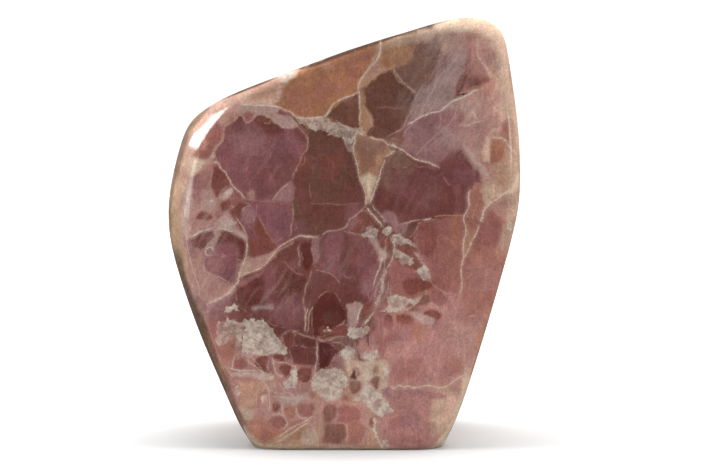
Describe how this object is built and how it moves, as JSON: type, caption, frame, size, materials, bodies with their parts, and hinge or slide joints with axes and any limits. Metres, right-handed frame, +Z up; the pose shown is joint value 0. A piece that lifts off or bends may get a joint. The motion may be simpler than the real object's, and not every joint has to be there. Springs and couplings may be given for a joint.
{
  "type": "polished calcite",
  "caption": "Free-standing polished slab of banded brown and pink calcite: flat face, rounded edges, slanting top and a cut flat base.",
  "frame": {"origin": "centre of the bounding box on the plane of the cut base", "axes": "+Z up from the base, -Y out of the broad polished face, +X to the right seen from the front"},
  "size_m": [0.0992, 0.0432, 0.1216],
  "materials": {
    "calcite": "hand-ground and polished to a soft gloss"
  },
  "bodies": {
    "root": {"calcite": "calcite"}
  },
  "joints": []
}
